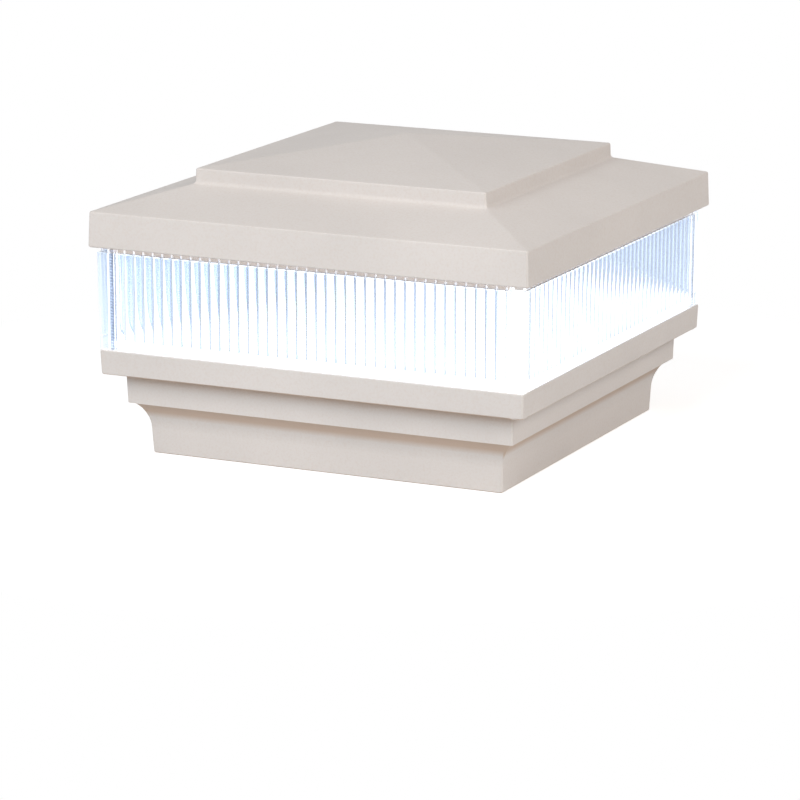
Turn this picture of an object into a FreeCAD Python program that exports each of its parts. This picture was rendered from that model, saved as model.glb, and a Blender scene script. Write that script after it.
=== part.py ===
"""Deck post cap light: a moulded base and a two-tier roof around a clear reeded lens.

Millimetres, +Z up. The origin is the middle of the skirt's lower edge, where the cap goes on a post.
"""
import FreeCAD
import Part
import math
import os

os.makedirs("parts", exist_ok=True)

# ================================================================ driving dimensions
CLEARANCE = 0.3               # air between neighbouring pieces
WALL = 3.0                    # walls of the base
EDGE_BREAK = 0.45             # flat on each upright corner edge

# ---- base, outside: widths are per side, heights are per tier
POST_HALF = 63.5              # half of the square post that the cap fits
POST_PLAY = 0.75              # air between the post and each locating rib
RIB_REACH = 9.69              # locating ribs, in from the skirt wall
SKIRT_DRAFT = 0.56
SKIRT_HEIGHT = 10.6
COVE_WIDTH = 5.5
COVE_HEIGHT = 10.9
LOWER_LIP = 1.4
LOWER_DRAFT = 0.4
LOWER_HEIGHT = 12.6
UPPER_LIP = 7.17
UPPER_DRAFT = 0.39
UPPER_HEIGHT = 10.1
BASE_EDGE_R = 0.6

# ---- base, inside
RIM_WALL = 3.56
LOCATING_RIB_T = 2.5
LOCATING_RIB_PITCH = 42.0
LOCATING_RIB_START = 1.0      # the ribs start this far above the skirt's edge
LEAD_IN_HEIGHT = 6.0
LEAD_IN_FOOT = 5.0            # how far a rib stands in at its foot
TRAY_POST_R = 4.0
TRAY_POST_GAP = 0.5
CORNER_BOSS_R = 4.1
HEAD_SINK = 0.5               # tie screw heads lie this deep in their recess
HEAD_ROOM = 0.2

# ---- mounting plate, screwed down inside the base
POST_DEPTH = 14.0             # how far the post goes in
SEAT_RIB_HEIGHT = 2.0
SEAT_RIB_T = 2.5
SEAT_RIB_INSETS = (5.0, 15.0)  # outer faces of the two square seat ribs, in from the post's side
PLATE_T = 2.5
PLATE_BOSS_R = 3.6
PLATE_BOSS_HEIGHT = 10.0
STANDOFF_R = 3.0
STANDOFF_HEIGHT = 2.5

# ---- lens
LENS_SETBACK = 0.06           # lens face behind the base's top edge
LENS_DRAFT = 0.45
LENS_HEIGHT = 39.55           # from the lens's lower edge to its ledge
LENS_WALL = 2.2               # at the foot of the reeds
LENS_EDGE_R = 0.4
SPIGOT_WALL = 1.5             # recessed collar of the lens, up inside the roof
SPIGOT_HEIGHT = 3.95
RAIL_HEIGHT = 3.9             # plain rail below the reeds
REED_DEPTH = 1.1
REEDS_PER_SIDE = 40
REED_MARGIN = 0.8             # flat between the last reed and the corner column
COLUMN_R = 3.1
COLUMN_INSET = 2.3            # column centre, in from the foot of the reeds

# ---- seals
LENS_SEAL_INSET = 0.1         # groove in the rim, out from the foot of the reeds
LENS_SEAL_WIDTH = 1.2
LENS_SEAL_DEPTH = 1.0
LENS_SEAL_PLAY = 0.1
ROOF_SEAL_T = 1.3
ROOF_SEAL_WIDTH = 2.0
ROOF_SEAL_END = 4.6           # strips stop this far from the column centres

# ---- roof
BRIM_OVERHANG = 2.5           # brim's lower edge, out from the lens ledge
BRIM_GAP = 2.05               # brim's lower edge, up from the lens ledge
BRIM_DRAFT = 0.47
BRIM_HEIGHT = 14.3
BRIM_WALL = 2.2
ROOF_WALL = 2.5
SLOPE_RISE = 8.8              # brim's top edge to where the slope would meet the fascia
FASCIA_HALF = 63.6
FASCIA_DRAFT = 0.2
FASCIA_HEIGHT = 6.0
FASCIA_FOOT_R = 1.8
PYRAMID_RISE = 9.3
ROOF_EDGE_R = 0.7
HOLLOW_EDGE_R = 1.0
COLLAR_DROP = 0.6             # roof collar's lower edge, down from the lens ledge
COLLAR_T = 2.5
ROOF_BOSS_R = 3.7
STOPS_PER_SIDE = 8            # short ribs that the roof seal bears on
STOP_T = 1.6
STOP_END = 12.0               # outermost stops, in from the column centres
WEB_AT = 30.0                 # stiffening webs under the roof
WEB_T = 1.8
WEB_DROP = 3.0                # webs reach this far below the brim's top edge

# ---- light tray, diffuser and light board
TRAY_WALL = 2.0
TRAY_NOTCH_GAP = 0.4
TRAY_EDGE_R = 1.5
DRIVER_ROOM = 14.5            # from the mounting plate to the tray
DIFFUSER_T = 3.0
SPREADER_GAP = 3.1            # from the tray screw heads
SPREADER_T = 1.5
SPREADER_CORNER_R = 4.0
LED_BOARD_INSET = 2.0
LED_BOARD_T = 1.6
LED_BOARD_CORNER_R = 3.0
LED_ROWS = 6
LED_EDGE = 12.0               # outermost chips, in from the board's edge
LED_LENGTH = 3.5
LED_WIDTH = 2.8
LED_HEIGHT = 0.8
BOARD_SCREW_INSET = 6.0
BOARD_BOSS_HEIGHT = 6.0

# ---- screws: shank radius, head radius, head height
TIE_SCREW = (1.45, 2.75, 2.1)
TIE_SCREW_REACH = 8.4         # past the roof boss's lower end
SMALL_SCREW = (1.0, 2.1, 1.5)
TRAY_SCREW = (1.25, 2.9, 1.9)
BOARD_SCREW_LENGTH = 9.0
DRIVER_SCREW_LENGTH = 5.0
PLATE_SCREW_LENGTH = 8.0
TRAY_SCREW_LENGTH = 11.0
PILOT_SPARE = 0.6             # a blind hole is this much deeper than its screw
INSERT_R = 2.3
INSERT_LENGTH = 6.0
INSERT_WAIST = 1.2
INSERT_WAIST_R = 2.0

# ---- driver board and what is on it: places are (x, y) from the board's middle
DRIVER_BOARD_X = 60.0
DRIVER_BOARD_Y = 38.0
DRIVER_BOARD_OFFSET = 20.0    # board's near edge, from the cable inlet
DRIVER_BOARD_T = 1.6
DRIVER_BOARD_CORNER_R = 2.0
DRIVER_SCREW_INSET = 3.6
RECTIFIER_AT = (-15.0, -5.7)
RECTIFIER_SIZE = (8.0, 6.5, 2.8)
RECTIFIER_LEGS = 4.6          # between the two legs of one side
LEG_T = 0.5
CAPACITOR_AT = (18.0, -7.0)
CAPACITOR_R = 4.5
CAPACITOR_HEIGHT = 9.4
CAPACITOR_GROOVE_Z = 1.8
CAPACITOR_GROOVE = 0.4
CHOKE_AT = (19.0, 8.0)
CHOKE_R = 5.0
CHOKE_POST_R = 2.2
CHOKE_HEIGHT = 7.2
CHOKE_FLANGE_T = 1.2
WINDING_R = 4.3
CHIP_AT = (-15.2, 7.5)
CHIP_SIZE = (4.5, 5.0, 1.45)
CHIP_LEG_PITCH = 1.27
TERMINAL_SIZE = (10.8, 8.0, 9.0)
TERMINAL_PITCH = 5.2
TERMINAL_SETBACK = 1.5        # from the board's near edge
TERMINAL_SCREW_R = 1.7
WIRE_ENTRY = 3.4
WIRE_ENTRY_FLOOR = 1.5
LEAD_R = 0.8
LEAD_PITCH = 6.8
LEAD_FOOT = 8.0               # in from the board's far edge
LEAD_SHIFT = 4.0
LEAD_BEND = 60.0              # degrees

# ---- supply inlet
GROMMET_BORE_R = 3.2
GROMMET_NECK_R = 5.7
GROMMET_FLANGE_R = 8.6
GROMMET_FLANGE_T = 1.8
GROMMET_LIP = 1.6

# ================================================================ levels and half widths
SKIRT_INNER_HALF = POST_HALF + POST_PLAY + RIB_REACH
SKIRT_BOTTOM_HALF = SKIRT_INNER_HALF + WALL
SKIRT_TOP_HALF = SKIRT_BOTTOM_HALF + SKIRT_DRAFT
COVE_TOP_HALF = SKIRT_TOP_HALF + COVE_WIDTH
LOWER_HALF = COVE_TOP_HALF + LOWER_LIP
LOWER_TOP_HALF = LOWER_HALF + LOWER_DRAFT
UPPER_HALF = LOWER_TOP_HALF + UPPER_LIP
BASE_TOP_HALF = UPPER_HALF + UPPER_DRAFT
LOWER_Z = SKIRT_HEIGHT + COVE_HEIGHT
UPPER_Z = LOWER_Z + LOWER_HEIGHT
BASE_TOP_Z = UPPER_Z + UPPER_HEIGHT

PLATE_Z = POST_DEPTH + SEAT_RIB_HEIGHT
PLATE_TOP_Z = PLATE_Z + PLATE_T
SHELF_Z = UPPER_Z + WALL
RIM_INNER_HALF = BASE_TOP_HALF - RIM_WALL
WELL_HALF = SKIRT_TOP_HALF - WALL          # compartment, beside the driver
MID_HALF = LOWER_HALF - WALL               # compartment, beside the tray
PLATE_HALF = WELL_HALF - CLEARANCE
PLATE_BOSS_AT = SKIRT_INNER_HALF - PLATE_BOSS_R

LENS_BOTTOM_Z = BASE_TOP_Z + CLEARANCE
LENS_LEDGE_Z = LENS_BOTTOM_Z + LENS_HEIGHT
SPIGOT_TOP_Z = LENS_LEDGE_Z + SPIGOT_HEIGHT
RAIL_TOP_Z = LENS_BOTTOM_Z + RAIL_HEIGHT
LENS_BOTTOM_HALF = BASE_TOP_HALF - LENS_SETBACK
LENS_TOP_HALF = LENS_BOTTOM_HALF + LENS_DRAFT
LENS_INNER_HALF = LENS_BOTTOM_HALF - LENS_WALL
REED_CREST_HALF = LENS_INNER_HALF - REED_DEPTH
SPIGOT_HALF = LENS_INNER_HALF + SPIGOT_WALL
COLUMN_CENTRE = LENS_INNER_HALF - COLUMN_INSET
# a side runs from one corner column to the next
SIDE_SPAN = COLUMN_CENTRE - math.sqrt(COLUMN_R ** 2 - COLUMN_INSET ** 2)

BRIM_BOTTOM_HALF = LENS_TOP_HALF + BRIM_OVERHANG
BRIM_TOP_HALF = BRIM_BOTTOM_HALF - BRIM_DRAFT
BRIM_INNER_HALF = BRIM_TOP_HALF - BRIM_WALL
BRIM_BOTTOM_Z = LENS_LEDGE_Z + BRIM_GAP
BRIM_TOP_Z = BRIM_BOTTOM_Z + BRIM_HEIGHT
FASCIA_FOOT_Z = BRIM_TOP_Z + SLOPE_RISE
FASCIA_TOP_Z = FASCIA_FOOT_Z + FASCIA_HEIGHT
FASCIA_TOP_HALF = FASCIA_HALF - FASCIA_DRAFT
APEX_Z = FASCIA_TOP_Z + PYRAMID_RISE
SLOPE = SLOPE_RISE / (BRIM_TOP_HALF - FASCIA_HALF)
COLLAR_BOTTOM_Z = LENS_LEDGE_Z - COLLAR_DROP
COLLAR_HALF = REED_CREST_HALF - CLEARANCE
ROOF_SEAL_TOP_Z = SPIGOT_TOP_Z + ROOF_SEAL_T
BOSS_BOTTOM_Z = SPIGOT_TOP_Z + CLEARANCE
INSERT_TOP_Z = BOSS_BOTTOM_Z + CLEARANCE + INSERT_LENGTH

SCREW_BORE_R = TIE_SCREW[0] + CLEARANCE
TIE_SEAT_Z = UPPER_Z + TIE_SCREW[2] + HEAD_SINK
TIE_SCREW_LENGTH = BOSS_BOTTOM_Z + TIE_SCREW_REACH - TIE_SEAT_Z

DIFFUSER_TOP_Z = RAIL_TOP_Z - CLEARANCE
TRAY_TOP_Z = DIFFUSER_TOP_Z - DIFFUSER_T
TRAY_BOTTOM_Z = PLATE_TOP_Z + DRIVER_ROOM
TRAY_FLOOR_Z = TRAY_BOTTOM_Z + TRAY_WALL
TRAY_HALF = RIM_INNER_HALF - CLEARANCE
TRAY_WELL_HALF = MID_HALF - CLEARANCE
TRAY_NOTCH_R = CORNER_BOSS_R + TRAY_NOTCH_GAP
TRAY_SCREW_AT = WELL_HALF - TRAY_POST_R - TRAY_POST_GAP
SPREADER_HALF = TRAY_SCREW_AT - TRAY_SCREW[1] - SPREADER_GAP
LED_BOARD_HALF = SPREADER_HALF - LED_BOARD_INSET
LED_BOARD_Z = TRAY_FLOOR_Z + SPREADER_T
LED_BOARD_TOP_Z = LED_BOARD_Z + LED_BOARD_T
BOARD_SCREW_AT = LED_BOARD_HALF - BOARD_SCREW_INSET

BOARD_Z = PLATE_TOP_Z + STANDOFF_HEIGHT
BOARD_TOP_Z = BOARD_Z + DRIVER_BOARD_T
BOARD_MID_Y = DRIVER_BOARD_OFFSET + DRIVER_BOARD_Y / 2
LEAD_FOOT_Y = DRIVER_BOARD_OFFSET + DRIVER_BOARD_Y - LEAD_FOOT
LEAD_HEAD_Y = LEAD_FOOT_Y + LEAD_SHIFT


# ================================================================ helpers
def box(x_range, y_range, z_range):
    """Block from three (low, high) pairs."""
    size = [pair[1] - pair[0] for pair in (x_range, y_range, z_range)]
    corner = FreeCAD.Vector(x_range[0], y_range[0], z_range[0])
    return Part.makeBox(size[0], size[1], size[2], corner)


def block(x, y, size, z):
    """Block centred on (x, y), standing on z."""
    return box((x - size[0] / 2, x + size[0] / 2), (y - size[1] / 2, y + size[1] / 2), (z, z + size[2]))


def square(half, z_range):
    """Square block around the middle."""
    return box((-half, half), (-half, half), z_range)


def square_ring(outer_half, inner_half, z_range):
    return square(outer_half, z_range).cut(square(inner_half, z_range))


def rod(radius, x, y, z_range):
    """Upright cylinder."""
    return Part.makeCylinder(radius, z_range[1] - z_range[0], FreeCAD.Vector(x, y, z_range[0]))


def corners(distance):
    """The four points at the same distance from both middle planes."""
    return [(sx * distance, sy * distance) for sx in (-1, 1) for sy in (-1, 1)]


def rods(radius, distance, z_range):
    """Upright cylinders at the four corner points."""
    return [rod(radius, x, y, z_range) for x, y in corners(distance)]


def tie_points():
    """The tie screws stand in two corner columns, opposite each other."""
    return [(side * COLUMN_CENTRE, side * COLUMN_CENTRE) for side in (-1, 1)]


def tie_holes(radius, z_range):
    return [rod(radius, x, y, z_range) for x, y in tie_points()]


def turned(shape, degrees):
    """Copy of a shape, turned about the vertical middle line."""
    copy = shape.copy()
    copy.rotate(FreeCAD.Vector(0, 0, 0), FreeCAD.Vector(0, 0, 1), degrees)
    return copy


def around(shape):
    """The shape on all four sides."""
    return [turned(shape, 90 * side) for side in range(4)]


def revolved(section, x, y):
    """Round solid from a closed (radius, z) section, upright at (x, y)."""
    points = [FreeCAD.Vector(r, 0, z) for r, z in section]
    face = Part.Face(Part.makePolygon(points + points[:1]))
    solid = face.revolve(FreeCAD.Vector(0, 0, 0), FreeCAD.Vector(0, 0, 1), 360)
    solid.translate(FreeCAD.Vector(x, y, 0))
    return solid


def fused(first, others):
    """One solid from several."""
    return first.fuse(others).removeSplitter()


def round_upright_edges(plate, radius):
    """Round the four corners of a flat plate."""
    upright = [edge for edge in plate.Edges if edge.BoundBox.XLength + edge.BoundBox.YLength < 0.001]
    return plate.makeFillet(radius, upright)


def eased(outline):
    """Turn (half width, height, radius) corners into line and arc steps.

    A step is (u, z) for a line, or (mid u, mid z, u, z) for an arc.
    """
    steps = []
    last = len(outline) - 1
    for index, corner in enumerate(outline):
        if len(corner) == 4:
            steps.append(corner)
            continue
        u, z, radius = corner
        if radius == 0 or index in (0, last):
            steps.append((u, z))
            continue
        here = FreeCAD.Vector(u, 0, z)
        end_at = 0 if len(outline[index - 1]) == 3 else 2
        before = FreeCAD.Vector(outline[index - 1][end_at], 0, outline[index - 1][end_at + 1])
        after = FreeCAD.Vector(outline[index + 1][0], 0, outline[index + 1][1])
        towards_before = (before - here).normalize()
        towards_after = (after - here).normalize()
        half_angle = towards_before.getAngle(towards_after) / 2
        tangent = radius / math.tan(half_angle)
        start = here + towards_before * tangent
        end = here + towards_after * tangent
        bisector = (towards_before + towards_after).normalize()
        middle = here + bisector * (radius / math.sin(half_angle) - radius)
        steps.append((start.x, start.z))
        steps.append((middle.x, middle.z, end.x, end.z))
    return steps


def across(steps, edge_break):
    """The outline as seen along a diagonal, less the flat on the corner edge."""
    moved = []
    for step in steps:
        moved.append([(step[i] * math.sqrt(2) - edge_break, step[i + 1]) for i in range(0, len(step), 2)])
    low_z = moved[0][-1][1]
    u_before, z_before = moved[-2][-1]
    u_end, z_end = moved[-1][-1]
    top_z = z_before + (z_end - z_before) * u_before / (u_before - u_end)
    middle_steps = [tuple(value for pair in pairs for value in pair) for pairs in moved[1:-1]]
    return [(0.0, low_z)] + middle_steps + [(0.0, top_z)]


def outline_prism(steps, reach):
    """Prism along Y whose section is the outline and its mirror image."""
    edges = []
    for side in (1, -1):
        at = FreeCAD.Vector(0, 0, steps[0][1])
        for step in steps[1:]:
            to = FreeCAD.Vector(side * step[-2], 0, step[-1])
            if len(step) == 4:
                middle = FreeCAD.Vector(side * step[0], 0, step[1])
                edges.append(Part.Arc(at, middle, to).toShape())
            else:
                edges.append(Part.makeLine(at, to))
            at = to
    face = Part.Face(Part.Wire(Part.__sortEdges__(edges)))
    face.translate(FreeCAD.Vector(0, -reach, 0))
    return face.extrude(FreeCAD.Vector(0, 2 * reach, 0))


def mitred(outline, edge_break=0.0):
    """Square solid that follows a half outline on all four sides, with mitred corners."""
    steps = eased(outline)
    reach = 1.5 * max(step[-2] for step in steps)
    prism = outline_prism(steps, reach)
    solid = prism.common(turned(prism, 90))
    if edge_break > 0:
        diagonal = outline_prism(across(steps, edge_break), reach)
        solid = solid.common(turned(diagonal, 45)).common(turned(diagonal, -45))
    return solid.removeSplitter()


def screw(spec, length, x, y, seat_z, upwards=False):
    """Cross-headed screw whose head rests on seat_z; its shank points down, or up."""
    radius, head_r, head_h = spec
    shank = Part.makeCylinder(radius, length - radius)
    tip = Part.makeCone(radius, radius * 0.35, radius, FreeCAD.Vector(0, 0, length - radius))
    bevel = head_h * 0.3
    head = Part.makeCylinder(head_r, head_h - bevel, FreeCAD.Vector(0, 0, bevel - head_h))
    crown = Part.makeCone(head_r - bevel, head_r, bevel, FreeCAD.Vector(0, 0, -head_h))
    long_way = (-head_r * 0.55, head_r * 0.55)
    short_way = (-head_r * 0.13, head_r * 0.13)
    depth = (-2 * head_h, -head_h * 0.5)
    cross = [box(long_way, short_way, depth), box(short_way, long_way, depth)]
    body = shank.fuse([tip, head, crown]).cut(cross)
    if not upwards:
        body.rotate(FreeCAD.Vector(0, 0, 0), FreeCAD.Vector(1, 0, 0), 180)
    body.translate(FreeCAD.Vector(x, y, seat_z))
    return body.removeSplitter()


def save(name, shape):
    """Write one node. A list becomes a group of solids."""
    if isinstance(shape, list):
        shape = Part.makeCompound(shape)
    for solid in shape.Solids:
        if not solid.isValid():
            raise ValueError(name + " has an invalid solid")
    shape.exportStep("parts/" + name + ".step")
    print(name, len(shape.Solids), "solid(s)", round(shape.Volume / 1000, 2), "cm3")


# ================================================================ base housing
def base_outline():
    """Skirt, cove and the two steps, from the skirt's lower edge up.

    The cove is an arc that leaves the skirt smoothly.
    """
    skirt_lean = math.atan(SKIRT_DRAFT / SKIRT_HEIGHT)
    cove_lean = math.atan(COVE_WIDTH / COVE_HEIGHT)
    depth = math.hypot(COVE_WIDTH, COVE_HEIGHT) / 2 * math.tan((cove_lean - skirt_lean) / 2)
    cove_mid_u = SKIRT_TOP_HALF + COVE_WIDTH / 2 - depth * math.cos(cove_lean)
    cove_mid_z = SKIRT_HEIGHT + COVE_HEIGHT / 2 + depth * math.sin(cove_lean)
    return [
        (0, 0, 0),
        (SKIRT_BOTTOM_HALF, 0, BASE_EDGE_R),
        (SKIRT_TOP_HALF, SKIRT_HEIGHT, 0),
        (cove_mid_u, cove_mid_z, COVE_TOP_HALF, LOWER_Z),
        (LOWER_HALF, LOWER_Z, 0),
        (LOWER_TOP_HALF, UPPER_Z, 0),
        (UPPER_HALF, UPPER_Z, BASE_EDGE_R),
        (BASE_TOP_HALF, BASE_TOP_Z, BASE_EDGE_R),
        (0, BASE_TOP_Z, 0),
    ]


def inner_space():
    """What the base is hollowed by: the post's socket, and above it the driver and tray compartment."""
    over = BASE_TOP_Z + WALL
    return mitred([
        (0, -WALL, 0),
        (SKIRT_INNER_HALF, -WALL, 0),
        (SKIRT_INNER_HALF, PLATE_Z, 0),
        (WELL_HALF, PLATE_Z, 0),
        (WELL_HALF, LOWER_Z + WALL, 0),
        (MID_HALF, LOWER_Z + WALL, 0),
        (MID_HALF, SHELF_Z, 0),
        (RIM_INNER_HALF, SHELF_Z, 0),
        (RIM_INNER_HALF, over, 0),
        (0, over, 0),
    ])


def locating_rib(offset):
    """Upright rib inside the skirt that centres the post and carries the plate, with a lead-in at its foot."""
    root = SKIRT_INNER_HALF + WALL / 3
    foot = SKIRT_INNER_HALF - LEAD_IN_FOOT
    face = POST_HALF + POST_PLAY
    low = LOCATING_RIB_START
    outline = [(root, low), (foot, low), (face, low + LEAD_IN_HEIGHT), (face, PLATE_Z), (root, PLATE_Z)]
    points = [FreeCAD.Vector(x, offset - LOCATING_RIB_T / 2, z) for x, z in outline]
    rib = Part.Face(Part.makePolygon(points + points[:1]))
    return rib.extrude(FreeCAD.Vector(0, LOCATING_RIB_T, 0))


def backed_boss(radius, x, y, back, z_range):
    """Round boss at (x, y) whose square back runs out to (back[0], back[1])."""
    reach_x = sorted((x, back[0]))
    reach_y = sorted((y, back[1]))
    if back[1] == y:
        reach_y = (y - radius, y + radius)
    return fused(rod(radius, x, y, z_range), [box(reach_x, reach_y, z_range)])


def tray_posts():
    """Four posts in the corners of the base, from the skirt up to the tray."""
    out = (WELL_HALF + WALL / 3) / TRAY_SCREW_AT
    z_range = (LOCATING_RIB_START, TRAY_BOTTOM_Z)
    return [backed_boss(TRAY_POST_R, x, y, (x * out, y * out), z_range) for x, y in corners(TRAY_SCREW_AT)]


def plate_screw_points():
    """Four fixing points of the mounting plate, between the locating ribs."""
    y = LOCATING_RIB_PITCH / 2
    return [(sx * PLATE_BOSS_AT, sy * y) for sx in (-1, 1) for sy in (-1, 1)]


def plate_bosses():
    out = (SKIRT_INNER_HALF + WALL / 3) / PLATE_BOSS_AT
    z_range = (PLATE_Z - PLATE_BOSS_HEIGHT, PLATE_Z)
    return [backed_boss(PLATE_BOSS_R, x, y, (x * out, y), z_range) for x, y in plate_screw_points()]


def lens_seal_ring(z_range, play):
    """Square ring under the lens wall; play makes it thinner on both sides."""
    inner = LENS_INNER_HALF + LENS_SEAL_INSET
    return square_ring(inner + LENS_SEAL_WIDTH - play, inner + play, z_range)


def base_housing():
    shell = mitred(base_outline(), EDGE_BREAK).cut(inner_space())
    added = []
    for step in (-1, 0, 1):
        added += around(locating_rib(step * LOCATING_RIB_PITCH))
    added += rods(CORNER_BOSS_R, COLUMN_CENTRE, (UPPER_Z, BASE_TOP_Z))
    shell = fused(shell, added + tray_posts() + plate_bosses())
    holes = tie_holes(SCREW_BORE_R, (UPPER_Z - WALL, BASE_TOP_Z + WALL))
    holes += tie_holes(TIE_SCREW[1] + HEAD_ROOM, (UPPER_Z - WALL, TIE_SEAT_Z))
    pilot_low = TRAY_FLOOR_Z - TRAY_SCREW_LENGTH - PILOT_SPARE
    holes += rods(TRAY_SCREW[0] + CLEARANCE, TRAY_SCREW_AT, (pilot_low, TRAY_BOTTOM_Z + WALL))
    pilot_low = PLATE_TOP_Z - PLATE_SCREW_LENGTH - PILOT_SPARE
    pilot_r = SMALL_SCREW[0] + CLEARANCE
    holes += [rod(pilot_r, x, y, (pilot_low, PLATE_Z + WALL)) for x, y in plate_screw_points()]
    holes.append(lens_seal_ring((BASE_TOP_Z - LENS_SEAL_DEPTH, BASE_TOP_Z + WALL), 0))
    return shell.cut(holes).removeSplitter()


def lens_seal():
    return lens_seal_ring((BASE_TOP_Z - LENS_SEAL_DEPTH, LENS_BOTTOM_Z), LENS_SEAL_PLAY)


# ================================================================ mounting plate
def seat_rib(inset):
    """Square rib under the plate that bears on the post's end."""
    half = POST_HALF - inset
    return square_ring(half, half - SEAT_RIB_T, (POST_DEPTH, PLATE_Z + PLATE_T / 5))


def driver_screw_points():
    """Four fixing points of the driver board."""
    dx = DRIVER_BOARD_X / 2 - DRIVER_SCREW_INSET
    dy = DRIVER_BOARD_Y / 2 - DRIVER_SCREW_INSET
    return [(sx * dx, BOARD_MID_Y + sy * dy) for sx in (-1, 1) for sy in (-1, 1)]


def mounting_plate():
    """Plate that closes the base above the post: seat ribs below, driver standoffs above."""
    plate = square(PLATE_HALF, (PLATE_Z, PLATE_TOP_Z))
    notch_from = TRAY_SCREW_AT - TRAY_POST_R - CLEARANCE
    notch = (notch_from, PLATE_HALF + WALL)
    plate = plate.cut(around(box(notch, notch, (PLATE_Z - WALL, PLATE_TOP_Z + WALL))))
    added = [seat_rib(inset) for inset in SEAT_RIB_INSETS]
    standoff_z = (PLATE_TOP_Z - PLATE_T / 5, BOARD_Z)
    added += [rod(STANDOFF_R, x, y, standoff_z) for x, y in driver_screw_points()]
    plate = fused(plate, added)
    pilot_r = SMALL_SCREW[0] + CLEARANCE
    pilot_low = BOARD_TOP_Z - DRIVER_SCREW_LENGTH - PILOT_SPARE
    holes = [rod(pilot_r, x, y, (pilot_low, BOARD_Z + WALL)) for x, y in driver_screw_points()]
    through = (PLATE_Z - WALL, PLATE_TOP_Z + WALL)
    holes += [rod(pilot_r, x, y, through) for x, y in plate_screw_points()]
    holes.append(rod(GROMMET_NECK_R + CLEARANCE, 0, 0, through))
    return plate.cut(holes).removeSplitter()


# ================================================================ lens
def plain_side(z):
    """Edge of the opening along one side, at the foot of the reeds."""
    start = FreeCAD.Vector(-SIDE_SPAN, LENS_INNER_HALF, z)
    return [Part.makeLine(start, FreeCAD.Vector(SIDE_SPAN, LENS_INNER_HALF, z))]


def reeded_side(z):
    """Edge of the opening along one side: a row of round reeds with sharp grooves between."""
    first = -SIDE_SPAN + REED_MARGIN
    reed = -2 * first / REEDS_PER_SIDE
    at = FreeCAD.Vector(first, LENS_INNER_HALF, z)
    edges = [Part.makeLine(FreeCAD.Vector(-SIDE_SPAN, LENS_INNER_HALF, z), at)]
    for index in range(REEDS_PER_SIDE):
        x = first + index * reed
        crest = FreeCAD.Vector(x + reed / 2, REED_CREST_HALF, z)
        to = FreeCAD.Vector(x + reed, LENS_INNER_HALF, z)
        edges.append(Part.Arc(at, crest, to).toShape())
        at = to
    edges.append(Part.makeLine(at, FreeCAD.Vector(SIDE_SPAN, LENS_INNER_HALF, z)))
    return edges


def lens_opening(side_edges, height):
    """Inner opening of the lens: four sides, joined round the corner columns."""
    z = side_edges[0].BoundBox.ZMin
    inward = COLUMN_CENTRE - COLUMN_R * math.sqrt(0.5)
    start = FreeCAD.Vector(SIDE_SPAN, LENS_INNER_HALF, z)
    middle = FreeCAD.Vector(inward, inward, z)
    end = FreeCAD.Vector(LENS_INNER_HALF, SIDE_SPAN, z)
    quarter = side_edges + [Part.Arc(start, middle, end).toShape()]
    edges = [turned(edge, -90 * side) for side in range(4) for edge in quarter]
    face = Part.Face(Part.Wire(Part.__sortEdges__(edges)))
    return face.extrude(FreeCAD.Vector(0, 0, height))


def fluted_lens():
    body = mitred([
        (0, LENS_BOTTOM_Z, 0),
        (LENS_BOTTOM_HALF, LENS_BOTTOM_Z, 0),
        (LENS_TOP_HALF, LENS_LEDGE_Z, LENS_EDGE_R),
        (SPIGOT_HALF, LENS_LEDGE_Z, 0),
        (SPIGOT_HALF, SPIGOT_TOP_Z, 0),
        (0, SPIGOT_TOP_Z, 0),
    ], EDGE_BREAK)
    below = LENS_BOTTOM_Z - WALL
    above = SPIGOT_TOP_Z + WALL
    rail = lens_opening(plain_side(below), RAIL_TOP_Z - below)
    reeds = lens_opening(reeded_side(RAIL_TOP_Z), above - RAIL_TOP_Z)
    return body.cut(rail).cut(reeds).cut(tie_holes(SCREW_BORE_R, (below, above)))


# ================================================================ roof
def roof_outline():
    return [
        (0, BRIM_BOTTOM_Z, 0),
        (BRIM_BOTTOM_HALF, BRIM_BOTTOM_Z, ROOF_EDGE_R),
        (BRIM_TOP_HALF, BRIM_TOP_Z, ROOF_EDGE_R),
        (FASCIA_HALF, FASCIA_FOOT_Z, FASCIA_FOOT_R),
        (FASCIA_TOP_HALF, FASCIA_TOP_Z, ROOF_EDGE_R),
        (0, APEX_Z, 0),
    ]


def slope_underside(half):
    """Height of the lower slope's underside, so far from the middle."""
    return BRIM_TOP_Z - ROOF_WALL + SLOPE * (BRIM_TOP_HALF - half)


def roof_hollow():
    """Space under the shell, one wall thickness inside the outline."""
    below = BRIM_BOTTOM_Z - ROOF_WALL
    fascia = FASCIA_TOP_HALF - ROOF_WALL
    return mitred([
        (0, below, 0),
        (BRIM_INNER_HALF, below, 0),
        (BRIM_INNER_HALF, slope_underside(BRIM_INNER_HALF), HOLLOW_EDGE_R),
        (fascia, slope_underside(fascia), FASCIA_FOOT_R / 2),
        (fascia, FASCIA_TOP_Z - ROOF_WALL, HOLLOW_EDGE_R),
        (0, APEX_Z - ROOF_WALL, 0),
    ])


def roof_collar():
    """Square collar behind the lens spigot, notched round the lens columns."""
    top = slope_underside(COLLAR_HALF) + ROOF_WALL / 4
    collar = square_ring(COLLAR_HALF, COLLAR_HALF - COLLAR_T, (COLLAR_BOTTOM_Z, top))
    below = COLLAR_BOTTOM_Z - COLLAR_T
    return collar.cut(rods(COLUMN_R + CLEARANCE, COLUMN_CENTRE, (below, BOSS_BOTTOM_Z)))


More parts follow.
